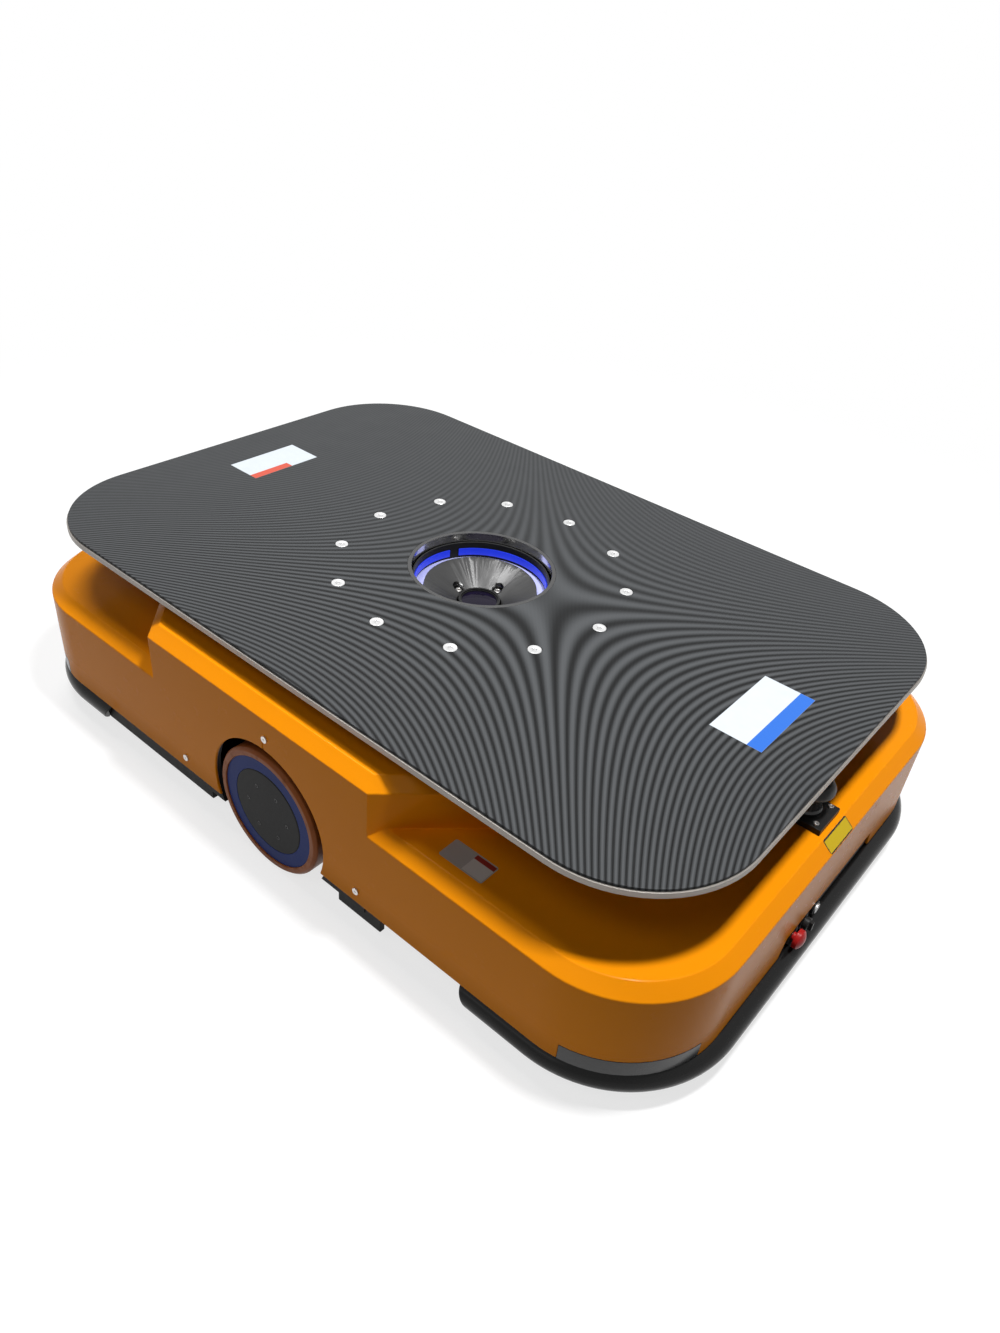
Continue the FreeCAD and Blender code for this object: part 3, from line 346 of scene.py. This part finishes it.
# ---------------------------------------------------------------- screws in the body
# Small zinc plated button heads that hold the shell to the frame and the scanner's foot.
zinc = Finish("zinc plate", Metallic=1.0)
zinc.wear(Base_Color=zinc.mix(zinc.noise(300), grey(0.62, 0.02), grey(0.5, 0.03)))
zinc.wear(Roughness=zinc.noise(900, 4.0) * 0.25 + 0.18)
dressed("body_screws", zinc, 0.0003)

# ---------------------------------------------------------------- underframe
# Welded plate under the shell, dark wrinkle paint: the sill, the arms, the lift's bridge
# and its sliding carriage.
wrinkle = Finish("dark wrinkle paint", IOR=1.45, Specular_IOR_Level=0.12)
grain = wrinkle.noise(1400, 3.0)
wrinkle.wear(Base_Color=wrinkle.mix(wrinkle.noise(12, 4.0), grey(0.009), grey(0.017)))
wrinkle.wear(Roughness=wrinkle.noise(60) * 0.25 + 0.42)
wrinkle.bump(grain, 0.00012, 0.5)
dressed("chassis_frame", wrinkle, 0.0008)
dressed("top_frame", wrinkle, 0.0006)
dressed("lift_carriage", wrinkle, 0.0006)
for side in ("left", "right"):
    dressed("swing_arm_" + side, wrinkle, 0.001)

# ---------------------------------------------------------------- bumpers
# Extruded black rubber round each end, glossy from its skin, with a scuffed nose and faint
# lines along the extrusion.
rubber = Finish("bumper rubber", IOR=1.5, Specular_IOR_Level=0.16)
height = rubber.axes()[2]
scuff = rubber.noise(90, 6.0, (1, 1, 4), 0.7).sharp(0.52, 0.7)
low = (0.045 - height).sharp(0.0, 0.02)
rubber.wear(Base_Color=rubber.mix(scuff * low, grey(0.008), grey(0.04, 0.08)))
rubber.wear(Roughness=scuff * 0.25 + rubber.noise(30) * 0.1 + 0.12)
lines = (height * 5200).sine()
rubber.bump(lines * 0.3 + rubber.noise(700, 3.0), 0.00005, 0.6)
for end in ("front_bumper", "rear_bumper"):
    dressed(end, rubber, 0.0015, 3)

# ---------------------------------------------------------------- corner lamps
# Smoked polycarbonate covers let into the foot of each corner. The smoke is a little
# uneven through the moulding.
smoke = Finish("smoked lamp cover", IOR=1.58, Specular_IOR_Level=0.25)
cloudy = smoke.noise(160, 2.0, (1, 1, 3))
smoke.wear(Base_Color=smoke.mix(cloudy, grey(0.018), grey(0.034, -0.04)))
smoke.wear(Roughness=smoke.noise(200, 4.0) * 0.12 + 0.16)
dressed("corner_lamps", smoke, 0.0005)

# ---------------------------------------------------------------- control bay
# Moulded panel in the front skirt: red mushroom stop, selector, lit push button, socket.
mould = Finish("dark moulded panel", IOR=1.46)
mould.wear(Base_Color=mould.mix(mould.noise(25), grey(0.03), grey(0.042)))
mould.wear(Roughness=mould.noise(400, 4.0) * 0.2 + 0.42)
mould.bump(mould.noise(2200, 2.0), 0.00005, 0.5)
dressed("control_panel", mould, 0.0006)

black = Finish("black moulding", IOR=1.48, Specular_IOR_Level=0.15)
black.wear(Base_Color=black.mix(black.noise(40), grey(0.011), grey(0.019)))
black.wear(Roughness=black.noise(300, 4.0) * 0.2 + 0.28)
black.bump(black.noise(1800, 2.0), 0.00004, 0.4)
dressed("panel_collars", black, 0.0004)
dressed("selector_knob", black, 0.0006)

red = Finish("red moulding", IOR=1.5, Specular_IOR_Level=0.2)
red.wear(Base_Color=red.mix(red.noise(60), (0.4, 0.01, 0.01, 1), (0.32, 0.008, 0.008, 1)))
red.wear(Roughness=red.noise(500, 3.0) * 0.15 + 0.25)
dressed("stop_button", red, 0.0005)

silver = Finish("turned aluminium", Metallic=1.0)
silver.wear(Base_Color=silver.mix(silver.noise(50), grey(0.6), grey(0.48)))
silver.wear(Roughness=silver.noise(700, 3.0) * 0.25 + 0.25)
dressed("push_button", silver, 0.0004)

# ---------------------------------------------------------------- scanner
# Safety scanner on the front deck: black foot, dark window band and a grey domed cap.
cap = Finish("scanner cap", IOR=1.47, Specular_IOR_Level=0.2)
cap.wear(Base_Color=cap.mix(cap.noise(30), grey(0.05), grey(0.07)))
cap.wear(Roughness=cap.noise(350, 4.0) * 0.18 + 0.34)
cap.bump(cap.noise(1600, 2.0), 0.00005, 0.5)
dressed("scanner_cap", cap, 0)
dressed("scanner_body", smoke, 0)
dressed("scanner_foot", black, 0.0008)

# ---------------------------------------------------------------- drive wheels
# Cast polyurethane tread bonded on a blue painted rim; a black cover closes the hub and
# six socket screws hold it.
tread = Finish("polyurethane tread", IOR=1.5, Specular_IOR_Level=0.12)
worn = tread.noise(70, 6.0, rough=0.68).sharp(0.5, 0.72)
tread.wear(Base_Color=tread.mix(worn * 0.6, (0.34, 0.1, 0.024, 1), (0.17, 0.062, 0.026, 1)))
tread.wear(Roughness=worn * 0.25 + 0.38)
tread.bump(tread.noise(420, 4.0), 0.0001, 0.6)
rim_paint = Finish("blue rim paint", IOR=1.5, Specular_IOR_Level=0.06)
rim_paint.wear(Base_Color=rim_paint.mix(rim_paint.noise(30), (0.012, 0.034, 0.2, 1),
                                        (0.01, 0.026, 0.15, 1)))
rim_paint.wear(Roughness=rim_paint.noise(300, 4.0) * 0.2 + 0.3)
wheel_height = 0.0957
cover_black = Finish("hub cover black", IOR=1.47, Specular_IOR_Level=0.06)
x, y, height = cover_black.axes()
turned = (cover_black.node("ShaderNodeVectorMath", {"operation": "LENGTH"}, "Value",
                           _0=cover_black.node("ShaderNodeCombineXYZ", X=x,
                                               Z=height - wheel_height)) * 5000).sine()
cover_black.wear(Base_Color=cover_black.mix(cover_black.noise(18), grey(0.012), grey(0.02)))
cover_black.wear(Roughness=cover_black.noise(200, 3.0) * 0.15 + 0.34)
cover_black.bump(turned, 0.00003, 0.4)


class Recipe(Tree):
    """A Geometry Nodes tree with named sizes, turned into a plain mesh at the end."""

    def __init__(self, name, **sizes):
        self.tree = bpy.data.node_groups.new(name, "GeometryNodeTree")
        self.tree.interface.new_socket("Mesh", in_out="OUTPUT",
                                       socket_type="NodeSocketGeometry")
        self.sizes = sizes
        self.identifiers = {}
        for size, value in sizes.items():
            kind = "NodeSocketInt" if isinstance(value, int) else "NodeSocketFloat"
            socket = self.tree.interface.new_socket(size, in_out="INPUT", socket_type=kind)
            self.identifiers[size] = socket.identifier
        self.entry = self.tree.nodes.new("NodeGroupInput")

    def given(self, size):
        return Signal(self, self.entry.outputs[size])

    def baked(self, name, result, finish, turn=(0, 0, 0), move=(0, 0, 0)):
        """Places the result, gives it its finish and returns it as a mesh."""
        whole = self.node("GeometryNodeRealizeInstances", Geometry=result)
        placed = self.node("GeometryNodeTransform", Geometry=whole, Translation=move,
                           Rotation=turn)
        coated = self.node("GeometryNodeSetMaterial", Geometry=placed,
                           Material=finish.material)
        ending = self.tree.nodes.new("NodeGroupOutput")
        self.feed(ending.inputs[0], coated)
        carrier = bpy.data.objects.new(name, bpy.data.meshes.new(name))
        bpy.context.scene.collection.objects.link(carrier)
        grow = carrier.modifiers.new("recipe", "NODES")
        grow.node_group = self.tree
        for size, value in self.sizes.items():
            grow[self.identifiers[size]] = value
        mesh = plain_mesh(carrier, name)
        mesh.shade_smooth()
        mesh.set_sharp_from_angle(angle=math.radians(32))
        return mesh


def socket_screw(name, head, rise, hexagon, depth, shank, length):
    """A screw standing on z = 0 with a broken edge and a hexagon socket; its shank goes down."""
    around = 24
    shape = bmesh.new()
    rings = []

    def ring(radius, z, six=False):
        loop = []
        for i in range(around):
            angle = 2 * math.pi * i / around
            reach = radius
            if six:
                reach = radius / math.cos((angle + math.pi / 6) % (math.pi / 3) - math.pi / 6)
            loop.append(shape.verts.new((reach * math.cos(angle), reach * math.sin(angle), z)))
        rings.append(loop)

    ring(shank, -length)
    ring(shank, 0)
    ring(head, 0)
    ring(head, rise * 0.8)
    ring(head - rise * 0.2, rise)
    ring(hexagon * 1.3, rise)
    ring(hexagon, rise - hexagon * 0.12, True)
    ring(hexagon, rise - depth, True)
    for lower, upper in zip(rings, rings[1:]):
        for i in range(around):
            j = (i + 1) % around
            shape.faces.new((lower[i], lower[j], upper[j], upper[i]))
    shape.faces.new(list(reversed(rings[0])))
    shape.faces.new(rings[-1])
    mesh = bpy.data.meshes.new(name)
    shape.to_mesh(mesh)
    shape.free()
    return bpy.data.objects.new(name, mesh)


def screw_circle(name, screw, count, radius, finish, turn, move, start=0.0):
    """Like screws spaced evenly on a circle."""
    recipe = Recipe(name, Count=count, Radius=radius)
    points = recipe.node("GeometryNodeMeshCircle", Vertices=recipe.given("Count"),
                         Radius=recipe.given("Radius"))
    turned_points = recipe.node("GeometryNodeTransform", Geometry=points,
                                Rotation=(0, 0, start))
    pattern = recipe.node("GeometryNodeObjectInfo", {"transform_space": "ORIGINAL"},
                          "Geometry", Object=screw)
    copies = recipe.node("GeometryNodeInstanceOnPoints", Points=turned_points,
                         Instance=pattern)
    return recipe.baked(name, copies, finish, turn, move)


black_oxide = Finish("black oxide", Metallic=0.8)
black_oxide.wear(Base_Color=black_oxide.mix(black_oxide.noise(30), grey(0.03), grey(0.05)))
black_oxide.wear(Roughness=black_oxide.noise(300, 3.0) * 0.2 + 0.35)
hub_screw_circle = 0.0388
hub_screw = socket_screw("hub screw", head=0.0032, rise=0.0012, hexagon=0.0015, depth=0.0009,
                         shank=0.0018, length=0.0004)
for side, sign in (("left", 1), ("right", -1)):
    dressed("wheel_tyre_" + side, tread, 0.0012, 3)
    dressed("wheel_rim_" + side, rim_paint, 0.0006)
    dressed("hub_cover_" + side, cover_black, 0.0003)
    low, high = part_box("hub_cover_" + side)
    face = (high.y - 0.001) if sign > 0 else (low.y + 0.001)
    ring = screw_circle("hub_screws_" + side, hub_screw, 6, hub_screw_circle, black_oxide,
                        (-sign * math.pi / 2, 0, 0), (0, face, (low.z + high.z) / 2))
    show("hub_screws_" + side, ring, black_oxide, "drive_wheel_" + side, "steel")

# ---------------------------------------------------------------- drive units
# Cast gearmotors on the swing arms, each arm pushed down by a wound spring.
cast = Finish("cast alloy", Metallic=0.9)
cast.wear(Base_Color=cast.mix(cast.noise(20, 5.0), grey(0.4), grey(0.52, 0.02)))
cast.wear(Roughness=cast.noise(150, 4.0) * 0.2 + 0.42)
cast.bump(cast.noise(800, 3.0), 0.00015, 0.5)
spring_steel = Finish("spring steel", Metallic=1.0)
spring_steel.wear(Base_Color=spring_steel.mix(spring_steel.noise(90), grey(0.3), grey(0.42)))
spring_steel.wear(Roughness=spring_steel.noise(500) * 0.2 + 0.25)
for side in ("left", "right"):
    dressed("gearmotor_" + side, cast, 0.0008)
    low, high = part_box("arm_spring_" + side)
    middle = (low + high) / 2
    wire, spring_turns = 0.0022, 6.5
    coil = Recipe("wound spring", Turns=spring_turns, Radius=(high.x - low.x) / 2 - wire,
                  Height=high.z - low.z - 2 * wire, Wire=wire)
    line = coil.node("GeometryNodeCurveSpiral", Resolution=28, Rotations=coil.given("Turns"),
                     Start_Radius=coil.given("Radius"), End_Radius=coil.given("Radius"),
                     Height=coil.given("Height"))
    section = coil.node("GeometryNodeCurvePrimitiveCircle", Resolution=10,
                        Radius=coil.given("Wire"))
    body = coil.node("GeometryNodeCurveToMesh", Curve=line, Profile_Curve=section,
                     Fill_Caps=True)
    mesh = coil.baked("arm_spring_" + side, body, spring_steel,
                      move=(middle.x, middle.y, low.z + wire))
    show("arm_spring_coil_" + side, mesh, spring_steel, "chassis", "steel",
         "arm_spring_" + side)

# ---------------------------------------------------------------- castors
# Four swivel castors under the corners: zinc plated forks and dark polyamide wheels.
nylon = Finish("castor wheel", IOR=1.5)
nylon.wear(Base_Color=nylon.mix(nylon.noise(60, 5.0), grey(0.03), grey(0.07, 0.05)))
nylon.wear(Roughness=nylon.noise(250, 4.0) * 0.25 + 0.4)
dressed("castor_mounts", zinc, 0.0006)
for corner in ("front_left", "front_right", "rear_left", "rear_right"):
    dressed("castor_fork_" + corner, zinc, 0.0005)
    dressed("castor_wheel_" + corner, nylon, 0)

# ---------------------------------------------------------------- lift, turning gear, boxes
# Machined and bought parts inside the body: screws, pulleys, belt, motors, slewing ring,
# battery and controller.
oiled = Finish("oiled gear steel", Metallic=1.0)
oiled.wear(Base_Color=oiled.mix(oiled.noise(25, 5.0), grey(0.32), grey(0.22, 0.05)))
oiled.wear(Roughness=oiled.noise(400, 4.0) * 0.25 + 0.22)
case = Finish("battery case", IOR=1.46)
case.wear(Base_Color=case.mix(case.noise(15), grey(0.02, -0.1), grey(0.03, -0.1)))
case.wear(Roughness=case.noise(300, 3.0) * 0.2 + 0.45)
for node, finish in (("lift_screw_front", zinc), ("lift_screw_rear", zinc),
                     ("lift_drive_pulley", silver), ("lift_belt", rubber),
                     ("lift_motor", black_oxide), ("slew_motor", black_oxide),
                     ("slew_race", oiled), ("slew_gear", oiled), ("slew_pinion", oiled),
                     ("battery_pack", case), ("controller_box", cast)):
    dressed(node, finish, 0)

# ---------------------------------------------------------------- sensor well
# A black cup looks up through the platform: a lit blue band, a pale reflector, a spun dark
# cone with four deep screws, and the camera's barrel in the middle.
lit = Finish("blue light strip", Roughness=0.35, Emission_Strength=1.0)
lit.wear(Base_Color=lit.mix(lit.noise(40), (0.01, 0.02, 0.3, 1), (0.012, 0.03, 0.36, 1)))
lit.wear(Emission_Color=lit.mix(lit.noise(25), (0.006, 0.018, 0.42, 1), (0.01, 0.028, 0.56, 1)))
pale = Finish("pale reflector", IOR=1.5)
# The reflector is white; its blue-lilac base colour is painted blue light from the light ring
# beside it.
pale.wear(Base_Color=pale.mix(pale.noise(60), (0.36, 0.38, 0.62, 1), (0.44, 0.45, 0.7, 1)))
pale.wear(Roughness=pale.noise(300) * 0.2 + 0.3)
spun = Finish("spun dark cone", Metallic=0.85)
x, y, height = spun.axes()
radius = spun.node("ShaderNodeVectorMath", {"operation": "LENGTH"}, "Value",
                   _0=spun.node("ShaderNodeCombineXYZ", X=x, Y=y))
spun.wear(Base_Color=spun.mix(spun.noise(30), grey(0.055), grey(0.07)))
spun.wear(Roughness=spun.noise(60, 3.0) * 0.04 + 0.32)
spun.bump((radius * 5200).sine(), 0.00003, 0.35)
glass = Finish("lens glass", IOR=1.35, Specular_IOR_Level=0.2)
glass.wear(Base_Color=glass.mix(glass.noise(40), (0.004, 0.004, 0.008, 1), (0.01, 0.006, 0.02, 1)))
glass.wear(Roughness=glass.noise(50) * 0.03 + 0.02)
dressed("well_housing", black, 0.0004)
dressed("well_reflector", pale, 0.0004)
dressed("light_ring", lit, 0)
dressed("camera_funnel", spun, 0)
dressed("camera_barrel", black, 0)
dressed("camera_lens", glass, 0)
low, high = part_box("funnel_screws")
funnel_screw_circle, funnel_head_rise = 0.042, 0.005
funnel_screw = socket_screw("funnel screw", head=0.0052, rise=funnel_head_rise, hexagon=0.0024,
                            depth=0.0028, shank=0.003, length=0.016)
ring = screw_circle("funnel_screws", funnel_screw, 4, funnel_screw_circle, zinc, (0, 0, 0),
                    (0, 0, high.z - funnel_head_rise))
show("funnel_screw_set", ring, zinc, "lift_carriage", "steel", "funnel_screws")

# ---------------------------------------------------------------- platform
# A flat steel plate with machined champagne grey edges, a ribbed rubber mat laid over it,
# twelve countersunk screws into the hub and a polished ring round the eye. Soft curved bands,
# painted at a fixed place on the mat, fade towards its rear left.
plate = Finish("plate paint", Metallic=0.55, IOR=1.5)
height = plate.axes()[2]
plate.wear(Base_Color=plate.mix(plate.noise(40, 4.0), grey(0.3, 0.09), grey(0.23, 0.08)))
plate.wear(Roughness=plate.noise(300, 3.0, (1, 1, 8)) * 0.2 + 0.34)
plate.bump((height * 9000).sine() + plate.noise(900), 0.00003, 0.5)
dressed("platform_plate", plate, 0.0006)
dressed("platform_hub", oiled, 0.0006)

ring_land = cad_high.z - 0.0006
polished = Finish("polished bore", IOR=1.5)
height = polished.axes()[2]
land = height.sharp(ring_land - 0.0002, ring_land + 0.0001)
polished.wear(Base_Color=polished.mix(land, polished.mix(polished.noise(20), grey(0.75), grey(0.6)),
                                      grey(0.03)))
polished.wear(Metallic=1.0 - land)
polished.wear(Roughness=land * 0.4 + polished.noise(200, 3.0, (1, 1, 6)) * 0.12 + 0.06)
dressed("eye_ring", polished, 0.0008, 2)

mat = Finish("ribbed mat", IOR=1.48, Specular_IOR_Level=0.1)
x, y, height = mat.axes()


def inside(tree, x, y, x0, x1, y0, y1, edge=0.0006):
    """1 in a rectangle on the plate, 0 outside it."""
    across = (x - (x0 + x1) / 2).size()
    along = (y - (y0 + y1) / 2).size()
    return tree.math("MINIMUM", 1 - across.sharp((x1 - x0) / 2 - edge, (x1 - x0) / 2),
                     1 - along.sharp((y1 - y0) / 2 - edge, (y1 - y0) / 2))


rib_pitch = 0.00189
rib_way = math.radians(127.3)
ribs = ((x * math.sin(rib_way) - y * math.cos(rib_way)) * (2 * math.pi / rib_pitch)).sine()
band_count = x * 31 - y * 9 - x * x * 134 + x * y * 67 + y * y * 150
bands = ((band_count + 0.2) * (2 * math.pi)).sine()
strength = (x * 0.45 - y).sharp(-0.3, 0.2) * 0.7 + 0.3
shade = bands * strength * 0.5 + 0.5 + ribs * 0.08
rubber_black = mat.mix(shade, grey(0.006, -0.04), grey(0.072, -0.05))
front_film = inside(mat, x, y, 0.425, 0.496, -0.073, 0.070)
front_band = inside(mat, x, y, 0.4755, 0.496, -0.073, 0.070)
rear_film = inside(mat, x, y, -0.495, -0.430, -0.066, 0.064)
rear_band = inside(mat, x, y, -0.445, -0.430, -0.066, 0.010)
film_white = mat.mix(mat.noise(60), (0.56, 0.6, 0.64, 1), (0.5, 0.54, 0.58, 1))
front_face = mat.mix(front_band, film_white, (0.03, 0.13, 0.5, 1))
rear_face = mat.mix(rear_band, film_white, (0.5, 0.08, 0.05, 1))
labelled = mat.mix(rear_film, mat.mix(front_film, rubber_black, front_face), rear_face)
film_here = mat.math("MAXIMUM", front_film, rear_film)
mat.wear(Base_Color=labelled)
mat.wear(Roughness=(1 - film_here) * (mat.noise(25, 4.0) * 0.14 + 0.08) + 0.3)
mat.bump(ribs * (1 - film_here), 0.0001, 0.3)
dressed("platform_mat", mat, 0.0008)

bright = Finish("bright screw steel", Metallic=1.0)
bright.wear(Base_Color=bright.mix(bright.noise(120), grey(0.85), grey(0.7)))
bright.wear(Roughness=bright.noise(700, 3.0) * 0.2 + 0.2)
low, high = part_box("platform_bolts")
plate_screw_circle, plate_head_rise = 0.211, 0.0038
plate_screw = socket_screw("plate screw", head=0.0098, rise=plate_head_rise, hexagon=0.0036,
                           depth=0.003, shank=0.005, length=0.022)
ring = screw_circle("platform_bolts", plate_screw, 12, plate_screw_circle, bright, (0, 0, 0),
                    (0, 0, high.z - plate_head_rise))
show("platform_screw_set", ring, bright, "platform", "steel", "platform_bolts")

# ---------------------------------------------------------------- blank labels
# Film labels on the body, left blank: a grey one in two fields on the front deck and a
# yellow one with a dark edge on the front chamfer.
film_thickness = 0.0003


def label(name, corners, finish, body, slot):
    """A thin film with round corners on a flat face given by three corners."""
    start, along, up = (Vector(c) for c in corners)
    run, rise = along - start, up - start
    normal = run.cross(rise).normalized() * film_thickness
    inset = 0.003
    points = []
    for cx, cy, first in ((1, 1, 0), (0, 1, 90), (0, 0, 180), (1, 0, 270)):
        for step in range(5):
            angle = math.radians(first + 22.5 * step)
            px = (cx * run.length + (inset if cx == 0 else -inset) + inset * math.cos(angle))
            py = (cy * rise.length + (inset if cy == 0 else -inset) + inset * math.sin(angle))
            points.append(start + run.normalized() * px + rise.normalized() * py)
    shape = bmesh.new()
    under = [shape.verts.new(p) for p in points]
    over = [shape.verts.new(p + normal) for p in points]
    shape.faces.new(over)
    shape.faces.new(list(reversed(under)))
    for i in range(len(points)):
        j = (i + 1) % len(points)
        shape.faces.new((under[i], under[j], over[j], over[i]))
    mesh = bpy.data.meshes.new(name)
    shape.to_mesh(mesh)
    shape.free()
    return show(name, mesh, finish, body, slot)


deck = 0.201
deck_film = Finish("deck film", IOR=1.5, Specular_IOR_Level=0.2)
x, y, height = deck_film.axes()
fields = inside(deck_film, x, y, 0.3060, 0.3360, -0.3735, -0.3445)
header = inside(deck_film, x, y, 0.3060, 0.3360, -0.3520, -0.3445)
print_free = deck_film.mix(fields, grey(0.42, 0.04), grey(0.6, 0.04))
deck_film.wear(Base_Color=deck_film.mix(header, print_free, (0.3, 0.03, 0.02, 1)))
deck_film.wear(Roughness=deck_film.noise(300) * 0.15 + 0.35)
label("deck_label", ((0.272, -0.375, deck), (0.337, -0.375, deck), (0.272, -0.343, deck)),
      deck_film, "chassis", "reflector_white")
yellow_film = Finish("yellow film", IOR=1.5, Specular_IOR_Level=0.2)
x, y, height = yellow_film.axes()
field = inside(yellow_film, height, y, 0.1885, 0.1996, -0.0302, 0.0312)
yellow_film.wear(Base_Color=yellow_film.mix(field, grey(0.01), (0.55, 0.39, 0.008, 1)))
yellow_film.wear(Roughness=yellow_film.noise(300) * 0.15 + 0.3)
label("chamfer_label", ((0.6022, -0.031, 0.1877), (0.6022, 0.032, 0.1877),
                        (0.5868, -0.031, 0.2004)), yellow_film, "chassis", "reflector_white")
